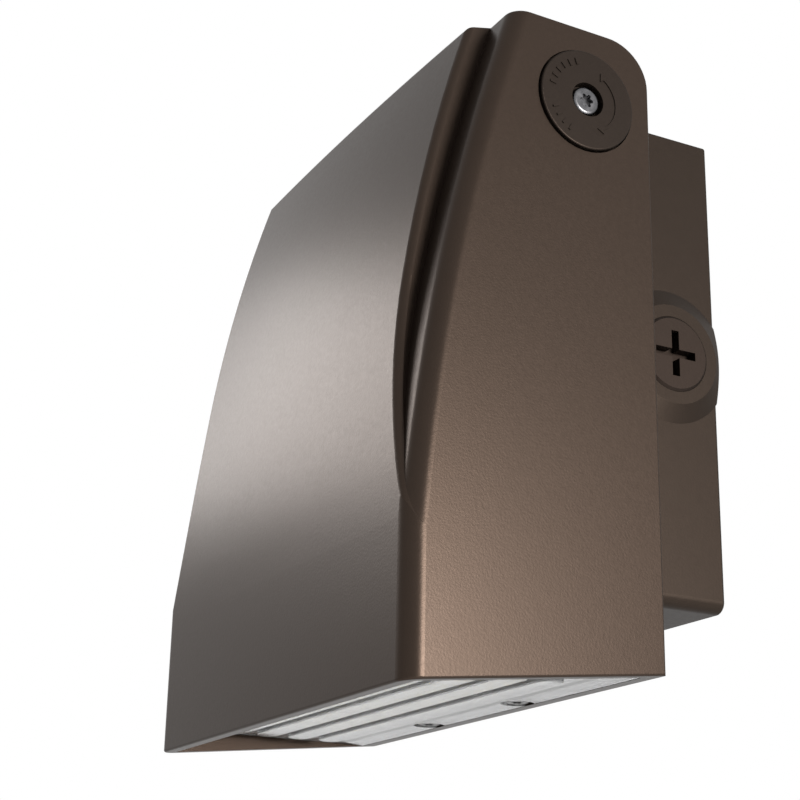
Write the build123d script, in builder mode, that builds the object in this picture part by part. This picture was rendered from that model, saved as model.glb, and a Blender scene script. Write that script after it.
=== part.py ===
from build123d import *
import os
from math import sqrt

os.makedirs("parts", exist_ok=True)

# Wall pack light, in millimetres. The origin is the centre of the wall face of the back box:
# +Z is up, +Y goes into the wall, the light looks out along -Y and down.

# ---------------------------------------------------------------- driving dimensions
# Head: the swinging housing with the lamp in it
head_width = 146.0
front_reach = 92.3           # wall to the upright lower part of the front
side_wall = 3.0
front_wall = 3.2
top_wall = 3.4
plate_corner_radius = 12.0   # upper rear corner of each side plate
plate_edge_radius = 0.6      # outer rim of the side plates and top of the shoulders
top_fall = 0.7               # the top of the head falls this much from front to back

# Front shape
bend_rise = 35.7             # height over the visor edge where the front starts to lean back
front_radius = 432.0         # side profile of the raised front panel
front_crown = 1.3            # bulge of the panel across its width, at the top
corner_radius = 4.6          # long upright edges of the head
shoulder_width = 11.6        # set-back strip each side of the raised panel
shoulder_set_back = 27.3     # shoulder behind the front face, at the top
shoulder_radius = 580.0      # side profile of the shoulders
shoulder_foot_drop = 11.3    # the shoulder arc stands upright this far under the visor edge
panel_edge_radius = 1.8
panel_top_drop = 1.6         # front edge of the panel top under the head top
panel_root_depth = 4.0       # how far the panel block reaches into the head behind the shoulders
flare_rise = 96.7            # height over the visor edge where the panel starts to widen
flare_radius = 175.0

# Back box, fixed to the wall
box_height = 125.2
box_depth = 29.0
box_side_gap = 6.3           # box wall to side plate
box_wall = 3.5
box_back = 3.0
box_rim = 3.0
box_rim_width = 7.7
box_top_rim_width = 10.6
box_lower_corner_radius = 3.0
box_upper_corner_radius = 0.6
box_back_edge_radius = 0.8
corner_block_width = 12.7
corner_block_height = 18.6
corner_block_depth = 21.0
rim_step_width = 9.7         # the rim opening narrows this much at the upper corners
rim_step_height = 12.4

# Hinge line and quarter-turn lock pins
axis_before_box = 15.4       # hinge axis in front of the box rim
axis_below_box_top = 2.6
axis_to_top = 20.85          # hinge axis to the top of the head
plate_behind_axis = 19.2
barrel_gap = 0.2             # barrel of the head to the gasket plane
barrel_wall = 3.0
barrel_step = 4.0            # the top wall of the head ends this far in front of the axis
pocket_clearance = 1.5
pocket_wall = 3.0
ear_thickness = 5.3
ear_radius = 10.0
hinge_boss_radius = 15.0
hinge_boss_gap = 0.8         # boss to ear
pin_radius = 6.0
pin_clearance = 0.06
disc_radius = 13.5
disc_gap = 0.4
disc_proud = 1.0
disc_seat_depth = 2.2
disc_back_gap = 0.2
disc_edge_radius = 0.4
disc_bore_radius = 4.6
disc_bore_depth = 2.6
mark_height = 0.25
mark_width = 0.6
arrow_radius = 8.4
arrow_start = -62.0
arrow_end = 58.0
arrow_head = 2.2
tick_radius = 10.4
tick_length = 1.8
cam_thickness = 2.4
cam_length = 16.4
cam_width = 7.0
cam_gap = 0.3
cam_slot_clearance = 0.3
lock_screw_head_radius = 3.9
lock_screw_head_height = 2.1
lock_screw_radius = 2.0
screw_hole_clearance = 0.05

# Lamp opening, lens and board
sill_drop = 18.8             # rear lower edge of the head under the box
visor_drop = 7.3             # front lower edge under the rear one
sill_gap = 4.9               # box to the ledge of the head under it
lip_thickness = 4.0
rear_lip_thickness = 4.8
lens_thickness = 3.0
lens_below_sill = 0.5
lens_clearance = 0.3
lens_gasket_thickness = 1.0
lens_gasket_width = 2.4
lens_gasket_inset = 0.4      # lamp opening to the gasket
lamp_ledge = 3.5
lamp_rear_ledge = 8.5
lamp_chamber = 3.9
shelf_thickness = 6.0
ridge_count = 4
ridge_width = 6.7
ridge_height = 1.2
ridge_edge_radius = 0.5
ridge_end_gap = 8.7          # end of the ridges to the side of the lens
ridge_first = 16.5           # rear edge of the lens to the first ridge
ridge_last = 12.5            # front edge of the lens to the last ridge
lens_lug_length = 5.0
lens_lug_depth = 1.8
lens_lug_spacing = 25.0
lens_lug_first = 6.6         # rear edge of the lens to the first lug
lens_lug_drop = 0.1          # top of the lugs under the lens gasket
lens_screw_spacing = 45.4
lens_screw_inset = 3.6       # rear edge of the lens to the screws
lens_screw_radius = 1.5
lens_screw_head_radius = 3.2
lens_screw_head_height = 1.5
lens_screw_length = 9.0
lens_seat_radius = 4.2
lens_seat_depth = 1.7
board_thickness = 1.6
board_margin = 2.0
chip_width = 2.8
chip_depth = 3.5
chip_height = 0.8
chip_end_gap = 8.4           # last chip of a row to the screws of the board
chips_per_row = 18
board_screw_radius = 1.5
board_screw_head_radius = 2.7
board_screw_head_height = 1.4
board_screw_inset = 3.4
board_screw_length = 6.0

# Rear cover of the head and what it carries
box_gasket_thickness = 2.0
box_gasket_width = 4.0
box_gasket_inset = 0.5
cover_thickness = 2.0
cover_clearance = 0.2
cover_gasket_thickness = 1.0
cover_gasket_width = 3.0
cover_ledge = 4.0            # thickness of the ledge that the cover is screwed down on
cover_overlap = 4.0
cover_margin = 3.7           # cover edge to the inner face of the side plate
cover_below_box = 2.7
cover_top_drop = 3.0         # cover top under the hinge axis
post_radius = 4.0
post_side_gap = 7.0          # rim opening of the box to the posts, at the sides
post_upper_gap = 6.6
post_lower_gap = 8.9
cover_screw_radius = 2.0
cover_screw_head_radius = 3.7
cover_screw_head_height = 2.2
cover_screw_length = 12.0
driver_width = 84.0
driver_height = 44.0
driver_depth = 26.0
driver_top_z = 0.0
driver_edge_radius = 1.5
driver_tab = 6.5
driver_tab_height = 12.0
driver_tab_thickness = 2.0
driver_screw_radius = 1.5
driver_screw_head_radius = 2.7
driver_screw_head_height = 1.4
terminal_width = 36.0
terminal_height = 15.0
terminal_depth = 13.0
terminal_z = 17.0
terminal_spigot_width = 28.0
terminal_spigot_height = 11.0
terminal_spigot_depth = 9.0
terminal_window_gap = 0.2
terminal_ways = 3
terminal_pitch = 9.0
terminal_entry_radius = 2.4
terminal_entry_depth = 8.0
terminal_screw_head_radius = 2.4
terminal_screw_head_height = 1.0
terminal_screw_radius = 1.5
terminal_screw_length = 5.0
terminal_edge_radius = 0.6
lead_radius = 1.6
lead_hole_clearance = 0.8
lead_spacing = 10.0
supply_lead_back = 7.0       # supply leads in front of the cover
led_lead_back = 17.0

# Wiring entries and wall fixings
conduit_from_wall = 14.3
conduit_z = 1.0
conduit_radius = 9.9
conduit_boss_base = 17.5
conduit_boss_top = 13.0
conduit_boss_height = 2.1
conduit_inner_boss_radius = 12.6
conduit_inner_boss_depth = 6.0
plug_clearance = 0.08
plug_length = 10.0
plug_proud = 0.6
plug_edge = 0.6
plug_slot_length = 12.0
plug_slot_width = 2.2
plug_slot_depth = 3.0
wire_entry_radius = 11.0
wall_hole_radius = 2.6
wall_hole_spacing_x = 88.0
wall_hole_spacing_z = 84.0
ground_screw_radius = 2.0
ground_screw_head_radius = 3.9
ground_screw_head_height = 2.2
ground_screw_length = 6.0
ground_boss_radius = 5.0
ground_boss_height = 5.0
ground_x = -34.0
ground_z = -28.0

# ---------------------------------------------------------------- derived places
overcut = 5.0                # how far cutting shapes run past the outside
sink = 0.5                   # how far joined shapes run into each other
head_half = head_width / 2
plate_inner = head_half - side_wall
box_half = plate_inner - box_side_gap
box_top = box_height / 2
box_front_y = -box_depth
axis_y = box_front_y - axis_before_box
axis_z = box_top - axis_below_box_top
head_top = axis_z + axis_to_top
plate_rear_y = axis_y + plate_behind_axis
rear_top = head_top - top_fall
front_y = -front_reach
sill_z = -box_top - sill_drop
visor_z = sill_z - visor_drop
bend_z = visor_z + bend_rise
ledge_top_z = -box_top - sill_gap
panel_half = head_half - shoulder_width
flare_z = visor_z + flare_rise

cover_rear_y = box_front_y - box_gasket_thickness
cover_front_y = cover_rear_y - cover_thickness
seat_y = cover_front_y - cover_gasket_thickness
chamber_rear_y = seat_y - cover_ledge
barrel_radius = axis_before_box - box_gasket_thickness - barrel_gap
body_rear_y = axis_y + barrel_radius
step_y = axis_y - barrel_step
ceiling_z = head_top - top_wall

boss_inner = box_half + hinge_boss_gap
ear_inner = box_half - ear_thickness
cam_outer = ear_inner - cam_gap
cam_inner = cam_outer - cam_thickness
pocket_inner = cam_inner - pocket_clearance
pocket_radius = ear_radius + pocket_clearance
pocket_shell = pocket_radius + pocket_wall
shell_inner = pocket_inner - pocket_wall
pin_bore = pin_radius + pin_clearance
disc_seat_x = head_half - disc_seat_depth
disc_back_x = disc_seat_x + disc_back_gap
disc_face_x = head_half + disc_proud

lens_face_z = sill_z - lens_below_sill
lens_top_z = lens_face_z + lens_thickness
lamp_ledge_z = lens_top_z + lens_gasket_thickness
shelf_under_z = lamp_ledge_z + lamp_chamber
shelf_top_z = shelf_under_z + shelf_thickness
board_face_z = shelf_under_z - board_thickness
recess_front_y = front_y + lip_thickness
recess_rear_y = plate_rear_y - rear_lip_thickness
lamp_half = plate_inner - lamp_ledge
lamp_front_y = recess_front_y + lamp_ledge
lamp_rear_y = recess_rear_y - lamp_rear_ledge
lamp_mid_y = (lamp_front_y + lamp_rear_y) / 2
lamp_depth = lamp_rear_y - lamp_front_y
lens_half = plate_inner - lens_clearance
lens_front_y = recess_front_y + lens_clearance
lens_rear_y = recess_rear_y - lens_clearance
lug_ys = [lens_rear_y - lens_lug_first - i * lens_lug_spacing for i in range(2)]
ridge_pitch = (lens_rear_y - lens_front_y - ridge_first - ridge_last) / (ridge_count - 1)
ridge_ys = [lens_rear_y - ridge_first - i * ridge_pitch for i in range(ridge_count)]
lens_screw_y = lens_rear_y - lens_screw_inset
lens_seat_z = lens_face_z + lens_seat_depth
board_half = lamp_half - board_margin
board_depth = lamp_depth - 2 * board_margin
board_screw_span_x = 2 * (board_half - board_screw_inset)
board_screw_span_y = board_depth - 2 * board_screw_inset
chip_pitch = (board_screw_span_x - 2 * chip_end_gap) / (chips_per_row - 1)

cover_half = plate_inner - cover_margin
cover_top_z = axis_z - cover_top_drop
cover_bottom_z = -box_top - cover_below_box
cover_notch_x = shell_inner - cover_clearance
cover_notch_z = axis_z - pocket_shell - cover_clearance
driver_mid_z = driver_top_z - driver_height / 2
driver_screw_span = driver_width + driver_tab
rim_half = box_half - box_rim_width
rim_top_z = box_top - box_top_rim_width
rim_bottom_z = -box_top + box_rim_width
rim_step_z = rim_top_z - rim_step_height
post_x = rim_half - post_side_gap
post_zs = (rim_step_z - post_upper_gap, rim_bottom_z + post_lower_gap)
post_points = [(side * post_x, z) for side in (1, -1) for z in post_zs]


def front_depth(z):
    """Y of the raised panel at its side edges, at a height."""
    rise = max(0.0, z - bend_z)
    return front_y + front_radius - sqrt(front_radius**2 - rise**2)


def crown(z):
    """How far the middle of the panel stands in front of its side edges, at a height."""
    return front_crown * max(0.0, z - bend_z) / (head_top - bend_z)


shoulder_foot_z = visor_z - shoulder_foot_drop
shoulder_centre_y = (
    front_y + shoulder_set_back + sqrt(shoulder_radius**2 - (head_top - shoulder_foot_z) ** 2)
)
shoulder_end_z = shoulder_foot_z + sqrt(shoulder_radius**2 - (shoulder_centre_y - front_y) ** 2)


def shoulder_depth(z):
    """Y of the shoulders beside the panel, at a height."""
    return shoulder_centre_y - sqrt(shoulder_radius**2 - (z - shoulder_foot_z) ** 2)


def yz_plane(x):
    """Upright plane across the light: local X is the world Y, local Y is the world Z."""
    return Plane(origin=(x, 0, 0), x_dir=(0, 1, 0), z_dir=(1, 0, 0))


def xz_plane(y):
    """Upright plane that faces the viewer: local X is the world X, local Y is the world Z."""
    return Plane(origin=(0, y, 0), x_dir=(1, 0, 0), z_dir=(0, -1, 0))


def under_plane(z):
    """Level plane that faces down."""
    return Plane(origin=(0, 0, z), x_dir=(1, 0, 0), z_dir=(0, 0, -1))


def save(piece, name):
    """Label a finished piece and write it to its own file."""
    piece.label = name
    export_step(piece, f"parts/{name}.step")
    print(f"{name}: {len(piece.solids())} solid(s), {piece.volume:.0f} mm3")


def screw(plane, head_radius, head_height, shank_radius, shank_length):
    """Pan-head screw with a six-lobe recess; it seats on the plane and its head faces the normal."""
    edge = head_height * 0.45
    with BuildPart() as body:
        with BuildSketch(plane):
            Circle(head_radius)
        extrude(amount=head_height)
        top = body.faces().sort_by(Axis(plane.origin, plane.z_dir))[-1]
        fillet(top.edges(), edge)
        with BuildSketch(plane):
            Circle(shank_radius)
        extrude(amount=-shank_length)
        with BuildSketch(plane.offset(head_height)):
            Circle(head_radius * 0.34)
            with PolarLocations(head_radius * 0.37, 6):
                Circle(head_radius * 0.12)
        extrude(amount=-head_height * 0.55, mode=Mode.SUBTRACT)
    return body.part


# ---------------------------------------------------------------- head: outer form
with BuildPart() as head_base:
    with BuildSketch(yz_plane(-head_half)):
        with BuildLine():
            middle_z = (shoulder_end_z + head_top) / 2
            front_top = (shoulder_depth(head_top), head_top)
            Line((front_y, visor_z), (front_y, shoulder_end_z))
            ThreePointArc(
                (front_y, shoulder_end_z), (shoulder_depth(middle_z), middle_z), front_top
            )
            Polyline(front_top, (plate_rear_y, rear_top), (plate_rear_y, sill_z), (front_y, visor_z))
        make_face()
        corner = vertices().sort_by_distance((plate_rear_y, rear_top))[0]
        fillet(corner, plate_corner_radius)
    extrude(amount=head_width)
    sides = head_base.faces().filter_by(Axis.X).sort_by(Axis.X)
    front_edges = (sides[0].edges() + sides[-1].edges()).filter_by(
        lambda e: e.center().Y < front_top[0] and e.center().Z > visor_z + visor_drop
    )
    fillet(front_edges, corner_radius)
    sides = head_base.faces().filter_by(Axis.X).sort_by(Axis.X)
    rear_edges = (sides[0].edges() + sides[-1].edges()).filter_by(
        lambda e: e.center().Y > front_top[0]
    )
    upper_edges = head_base.edges().filter_by(Axis.X).filter_by(
        lambda e: e.center().Y < front_top[0] + sink and e.center().Z > head_top - sink
    )
    fillet(rear_edges + upper_edges, plate_edge_radius)

with BuildPart() as front_form:
    steps = 7
    root_y = shoulder_depth(head_top) + panel_root_depth
    wide = head_half + overcut
    for i in range(steps):
        z = bend_z + (head_top + overcut - bend_z) * i / (steps - 1)
        edge_y = front_depth(z) + crown(z) * ((wide / panel_half) ** 2 - 1)
        with BuildSketch(Plane.XY.offset(z)):
            with BuildLine():
                Polyline((wide, edge_y), (wide, root_y), (-wide, root_y), (-wide, edge_y))
                if i == 0:
                    Line((-wide, edge_y), (wide, edge_y))
                else:
                    ThreePointArc((-wide, edge_y), (0, front_depth(z) - crown(z)), (wide, edge_y))
            make_face()
    loft()
    with BuildSketch(Plane.XY.offset(bend_z)):
        with Locations((0, (front_y + root_y) / 2)):
            Rectangle(2 * wide, root_y - front_y)
    extrude(amount=-(bend_z - visor_z))

with BuildPart() as panel:
    with BuildSketch(xz_plane(root_y)):
        with BuildLine():
            low_z = shoulder_end_z - 2 * sink
            low_half = panel_half + flare_radius - sqrt(flare_radius**2 - (flare_z - low_z) ** 2)
            Polyline((panel_half, flare_z), (panel_half, head_top), (-panel_half, head_top),
                     (-panel_half, flare_z))
            RadiusArc((-panel_half, flare_z), (-low_half, low_z), flare_radius)
            Line((-low_half, low_z), (low_half, low_z))
            RadiusArc((low_half, low_z), (panel_half, flare_z), flare_radius)
        make_face()
    extrude(amount=front_reach)
    add(front_form.part, mode=Mode.INTERSECT)
    with BuildSketch(yz_plane(-head_half)):
        with BuildLine():
            slope_end = front_top[0] + plate_edge_radius
            slope = panel_top_drop / (slope_end - front_depth(head_top))
            Polyline(
                (slope_end, head_top),
                (front_y, head_top - slope * (slope_end - front_y)),
                (front_y, head_top + overcut),
                (slope_end, head_top + overcut),
                close=True,
            )
        make_face()
    extrude(amount=head_width, mode=Mode.SUBTRACT)
    front_faces = panel.faces().filter_by(lambda f: f.normal_at().Y < -0.8)
    rim = front_faces.edges().filter_by(
        lambda e: e.center().Z > low_z + sink and abs(e.center().Z - bend_z) > sink
    )
    fillet(rim, panel_edge_radius)
    with BuildSketch(Plane.XY.offset(visor_z)):
        with Locations((0, (front_y + root_y) / 2)):
            Rectangle(head_width, root_y - front_y)
        front_corners = vertices().filter_by(lambda v: v.Y < (front_y + root_y) / 2)
        fillet(front_corners, corner_radius)
    extrude(amount=head_top - visor_z, mode=Mode.INTERSECT)

# ---------------------------------------------------------------- head: inner space
def hinge_pocket(reach):
    """Space that an ear swings in, seen along the hinge: a quadrant with a round corner."""
    side = axis_to_top + overcut + reach
    with BuildSketch() as outline:
        with Locations((-reach, -reach)):
            Rectangle(side, side, align=Align.MIN)
        fillet(outline.vertices().sort_by_distance((-reach, -reach))[0], reach)
    return outline.sketch


def flange_outline(points, grow=0.0, kind=Kind.INTERSECTION):
    """Closed outline from the points of its right half, grown or shrunk all round."""
    with BuildSketch() as outline:
        with BuildLine():
            Polyline(*points, *[(-x, z) for x, z in reversed(points)], close=True)
        make_face()
        if grow:
            offset(amount=grow, kind=kind)
    return outline.sketch


cover_points = [
    (cover_half, cover_bottom_z),
    (cover_half, cover_notch_z),
    (cover_notch_x, cover_notch_z),
    (cover_notch_x, cover_top_z),
]
rim_points = [
    (rim_half, rim_bottom_z),
    (rim_half, rim_step_z),
    (rim_half - rim_step_width, rim_step_z),
    (rim_half - rim_step_width, rim_top_z),
]
cam_slot = (cam_length + 2 * cam_slot_clearance, cam_width + 2 * cam_slot_clearance)

with BuildPart() as chamber:
    inner_y = front_y + front_wall
    with BuildSketch(yz_plane(-plate_inner)):
        with BuildLine():
            middle_z = (shoulder_end_z + ceiling_z) / 2
            middle = (shoulder_depth(middle_z) + front_wall, middle_z)
            inner_top = (shoulder_depth(ceiling_z) + front_wall, ceiling_z)
            Line((inner_y, shelf_top_z), (inner_y, shoulder_end_z))
            ThreePointArc((inner_y, shoulder_end_z), middle, inner_top)
            Polyline(
                inner_top,
                (step_y - barrel_wall, ceiling_z),
                (step_y - barrel_wall, axis_z),
                (chamber_rear_y, axis_z),
                (chamber_rear_y, shelf_top_z),
                (inner_y, shelf_top_z),
            )
        make_face()
    extrude(amount=2 * plate_inner)
    with BuildSketch(yz_plane(-shell_inner)):
        with Locations((axis_y, axis_z)):
            Circle(barrel_radius - barrel_wall)
    extrude(amount=2 * shell_inner)
    with BuildSketch(yz_plane(front_wall - panel_half)):
        with BuildLine():
            middle_z = (bend_z + ceiling_z) / 2
            middle = (front_depth(middle_z) + front_wall, middle_z)
            inner_top = (front_depth(ceiling_z) + front_wall, ceiling_z)
            ThreePointArc((inner_y, bend_z), middle, inner_top)
            Polyline(
                inner_top,
                (step_y - barrel_wall, ceiling_z),
                (step_y - barrel_wall, bend_z),
                (inner_y, bend_z),
            )
        make_face()
    extrude(amount=2 * (panel_half - front_wall))
    for side in (1, -1):
        with BuildSketch(yz_plane(side * shell_inner)):
            with Locations((axis_y, axis_z)):
                add(hinge_pocket(pocket_shell))
        extrude(amount=side * (plate_inner - shell_inner), mode=Mode.SUBTRACT)

# ---------------------------------------------------------------- head: housing
with BuildPart() as housing:
    add(head_base.part)
    add(panel.part)
    with BuildSketch(yz_plane(-plate_inner)):
        with BuildLine():
            high = head_top + overcut
            back = plate_rear_y + overcut
            step_top = (step_y, axis_z + sqrt(barrel_radius**2 - barrel_step**2))
            slant = barrel_radius * sqrt(0.5)
            Line((step_y, high), step_top)
            ThreePointArc(step_top, (axis_y + slant, axis_z + slant), (body_rear_y, axis_z))
            Polyline(
                (body_rear_y, axis_z),
                (body_rear_y, ledge_top_z),
                (back, ledge_top_z),
                (back, high),
                (step_y, high),
            )
        make_face()
    extrude(amount=2 * plate_inner, mode=Mode.SUBTRACT)
    add(chamber.part, mode=Mode.SUBTRACT)

    # hinge pockets, lock pin bores with keyways, disc seats
    for side in (1, -1):
        with BuildSketch(yz_plane(side * pocket_inner)):
            with Locations((axis_y, axis_z)):
                add(hinge_pocket(pocket_radius))
        extrude(amount=side * (boss_inner - pocket_inner), mode=Mode.SUBTRACT)
        with BuildSketch(yz_plane(side * boss_inner)):
            with Locations((axis_y, axis_z)):
                add(hinge_pocket(pocket_radius))
                Circle(hinge_boss_radius, mode=Mode.SUBTRACT)
        extrude(amount=side * (plate_inner - boss_inner), mode=Mode.SUBTRACT)
        with BuildSketch(yz_plane(side * boss_inner)):
            with Locations((axis_y, axis_z)):
                Circle(pin_bore)
                SlotOverall(*cam_slot)
        extrude(amount=side * (head_half - boss_inner), mode=Mode.SUBTRACT)
        with BuildSketch(yz_plane(side * disc_seat_x)):
            with Locations((axis_y, axis_z)):
                Circle(disc_radius + disc_gap)
        extrude(amount=side * (head_half - disc_seat_x), mode=Mode.SUBTRACT)

    # seat and opening behind the rear cover
    with BuildSketch(xz_plane(seat_y)):
        add(flange_outline(cover_points, cover_clearance))
    extrude(amount=seat_y - body_rear_y, mode=Mode.SUBTRACT)
    with BuildSketch(xz_plane(seat_y + sink)):
        add(flange_outline(cover_points, -cover_overlap))
    extrude(amount=cover_ledge + 2 * sink, mode=Mode.SUBTRACT)
    # posts that stand through the opening up to the cover
    for x, z in post_points:
        with BuildSketch(xz_plane(cover_front_y)):
            with Locations((x, z)):
                Circle(post_radius)
        extrude(amount=cover_front_y - front_depth(z) - front_wall + sink)
    with BuildSketch(xz_plane(cover_front_y)):
        with Locations(post_points):
            Circle(cover_screw_radius + screw_hole_clearance)
    extrude(amount=cover_screw_length, mode=Mode.SUBTRACT)

    # lens recess, lamp chamber, lugs beside the lens
    with BuildSketch(Plane.XY.offset(lamp_ledge_z)):
        with Locations((0, (recess_front_y + recess_rear_y) / 2)):
            Rectangle(2 * plate_inner, recess_rear_y - recess_front_y)
    extrude(amount=visor_z - lamp_ledge_z - overcut, mode=Mode.SUBTRACT)
    with BuildSketch(Plane.XY.offset(lamp_ledge_z)):
        with Locations((0, lamp_mid_y)):
            Rectangle(2 * lamp_half, lamp_depth)
    extrude(amount=lamp_chamber, mode=Mode.SUBTRACT)
    with BuildSketch(Plane.XY.offset(lens_face_z)):
        for side in (1, -1):
            with Locations([(side * (plate_inner + sink - lens_lug_depth / 2), y) for y in lug_ys]):
                Rectangle(lens_lug_depth + sink, lens_lug_length)
    extrude(amount=lens_thickness - lens_lug_drop)

    # screw and lead holes of the lamp
    with BuildSketch(Plane.XY.offset(shelf_under_z)):
        with Locations((0, lamp_mid_y)):
            with GridLocations(board_screw_span_x, board_screw_span_y, 2, 2):
                Circle(board_screw_radius + screw_hole_clearance)
    extrude(amount=board_screw_length - board_thickness + sink, mode=Mode.SUBTRACT)
    with BuildSketch(Plane.XY.offset(shelf_under_z)):
        with Locations((0, cover_front_y - led_lead_back)):
            with GridLocations(lead_spacing, 1, 2, 1):
                Circle(lead_radius + lead_hole_clearance)
    extrude(amount=shelf_thickness, mode=Mode.SUBTRACT)
    with BuildSketch(Plane.XY.offset(lamp_ledge_z)):
        with Locations((0, lens_screw_y)):
            with GridLocations(lens_screw_spacing, 1, 2, 1):
                Circle(lens_screw_radius + screw_hole_clearance)
    extrude(amount=lens_seat_z + lens_screw_length + sink - lamp_ledge_z, mode=Mode.SUBTRACT)
save(housing.part, "housing")

# ---------------------------------------------------------------- head: lens and lamp
with BuildPart() as lens:
    with BuildSketch(Plane.XY.offset(lens_face_z)):
        with Locations((0, (lens_front_y + lens_rear_y) / 2)):
            Rectangle(2 * lens_half, lens_rear_y - lens_front_y)
        for side in (1, -1):
            notch = lens_lug_depth + lens_clearance
            with Locations([(side * (plate_inner - notch / 2), y) for y in lug_ys]):
                Rectangle(notch, lens_lug_length + 2 * lens_clearance, mode=Mode.SUBTRACT)
    extrude(amount=lens_thickness)
    with BuildSketch(under_plane(lens_face_z)):
        with Locations([(0, -y) for y in ridge_ys]):
            SlotOverall(2 * (lens_half - ridge_end_gap), ridge_width)
    extrude(amount=ridge_height)
    fillet(lens.faces().group_by(Axis.Z)[0].edges(), ridge_edge_radius)
    with BuildSketch(Plane.XY.offset(lens_face_z)):
        with Locations((0, lens_screw_y)):
            with GridLocations(lens_screw_spacing, 1, 2, 1):
                Circle(lens_screw_radius + lens_clearance)
    extrude(amount=lens_thickness, mode=Mode.SUBTRACT)
    with BuildSketch(Plane.XY.offset(lens_face_z)):
        with Locations((0, lens_screw_y)):
            with GridLocations(lens_screw_spacing, 1, 2, 1):
                Circle(lens_seat_radius)
    extrude(amount=lens_seat_depth, mode=Mode.SUBTRACT)
save(lens.part, "lens")

with BuildPart() as lens_gasket:
    with BuildSketch(Plane.XY.offset(lens_top_z)):
        with Locations((0, lamp_mid_y)):
            band = lens_gasket_inset + lens_gasket_width
            Rectangle(2 * (lamp_half + band), lamp_depth + 2 * band)
            Rectangle(
                2 * (lamp_half + lens_gasket_inset),
                lamp_depth + 2 * lens_gasket_inset,
                mode=Mode.SUBTRACT,
            )
    extrude(amount=lens_gasket_thickness)
save(lens_gasket.part, "lens_gasket")

with BuildPart() as lens_screws:
    for side in (1, -1):
        seat = Plane(
            origin=(side * lens_screw_spacing / 2, lens_screw_y, lens_seat_z), z_dir=(0, 0, -1)
        )
        add(screw(seat, lens_screw_head_radius, lens_screw_head_height, lens_screw_radius,
                  lens_screw_length))
save(lens_screws.part, "lens_screws")

with BuildPart() as led_board:
    with BuildSketch(Plane.XY.offset(board_face_z)):
        with Locations((0, lamp_mid_y)):
            Rectangle(2 * board_half, board_depth)
            with GridLocations(board_screw_span_x, board_screw_span_y, 2, 2):
                Circle(board_screw_radius + screw_hole_clearance, mode=Mode.SUBTRACT)
    extrude(amount=board_thickness)
save(led_board.part, "led_board")

with BuildPart() as led_chips:
    with BuildSketch(under_plane(board_face_z)):
        with Locations([(0, -y) for y in ridge_ys]):
            with GridLocations(chip_pitch, 1, chips_per_row, 1):
                Rectangle(chip_width, chip_depth)
    extrude(amount=chip_height)
save(led_chips.part, "led_chips")

with BuildPart() as board_screws:
    for x in (-board_screw_span_x / 2, board_screw_span_x / 2):
        for y in (lamp_mid_y - board_screw_span_y / 2, lamp_mid_y + board_screw_span_y / 2):
            seat = Plane(origin=(x, y, board_face_z), z_dir=(0, 0, -1))
            add(screw(seat, board_screw_head_radius, board_screw_head_height,
                      board_screw_radius, board_screw_length))
save(board_screws.part, "board_screws")

# ---------------------------------------------------------------- head: rear cover and wiring
driver_seat_y = cover_front_y - driver_tab_thickness
with BuildPart() as rear_cover:
    with BuildSketch(xz_plane(cover_rear_y)):
        add(flange_outline(cover_points))
        with Locations(post_points):
            Circle(cover_screw_radius + cover_clearance, mode=Mode.SUBTRACT)
        with Locations((0, driver_mid_z)):
            with GridLocations(driver_screw_span, 1, 2, 1):
                Circle(driver_screw_radius + screw_hole_clearance, mode=Mode.SUBTRACT)
        with Locations((0, terminal_z)):
            Rectangle(
                terminal_spigot_width + 2 * terminal_window_gap,
                terminal_spigot_height + 2 * terminal_window_gap,
                mode=Mode.SUBTRACT,
            )
    extrude(amount=cover_thickness)
save(rear_cover.part, "rear_cover")

with BuildPart() as cover_gasket:
    with BuildSketch(xz_plane(cover_front_y)):
        add(flange_outline(cover_points, cover_gasket_width - cover_overlap))
        add(flange_outline(cover_points, -cover_overlap), mode=Mode.SUBTRACT)
    extrude(amount=cover_gasket_thickness)
save(cover_gasket.part, "cover_gasket")

with BuildPart() as cover_screws:
    for x, z in post_points:
        seat = Plane(origin=(x, cover_rear_y, z), x_dir=(1, 0, 0), z_dir=(0, 1, 0))
        add(screw(seat, cover_screw_head_radius, cover_screw_head_height, cover_screw_radius,
                  cover_screw_length))
save(cover_screws.part, "cover_screws")

with BuildPart() as driver:
    with BuildSketch(xz_plane(cover_front_y)):
        with Locations((0, driver_mid_z)):
            Rectangle(driver_width, driver_height)
    extrude(amount=driver_depth)
    fillet(driver.faces().sort_by(Axis.Y)[0].edges(), driver_edge_radius)
    with BuildSketch(xz_plane(cover_front_y)):
        with Locations((0, driver_mid_z)):
            Rectangle(driver_width + 2 * driver_tab, driver_tab_height)
    extrude(amount=driver_tab_thickness)
    with BuildSketch(xz_plane(cover_front_y)):
        with Locations((0, driver_mid_z)):
            with GridLocations(driver_screw_span, 1, 2, 1):
                Circle(driver_screw_radius + screw_hole_clearance)
    extrude(amount=driver_tab_thickness, mode=Mode.SUBTRACT)
save(driver.part, "driver")

with BuildPart() as driver_screws:
    for side in (1, -1):
        seat = Plane(
            origin=(side * driver_screw_span / 2, driver_seat_y, driver_mid_z),
            x_dir=(1, 0, 0),
            z_dir=(0, -1, 0),
        )
        add(screw(seat, driver_screw_head_radius, driver_screw_head_height, driver_screw_radius,
                  driver_tab_thickness + cover_thickness))
save(driver_screws.part, "driver_screws")

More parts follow.
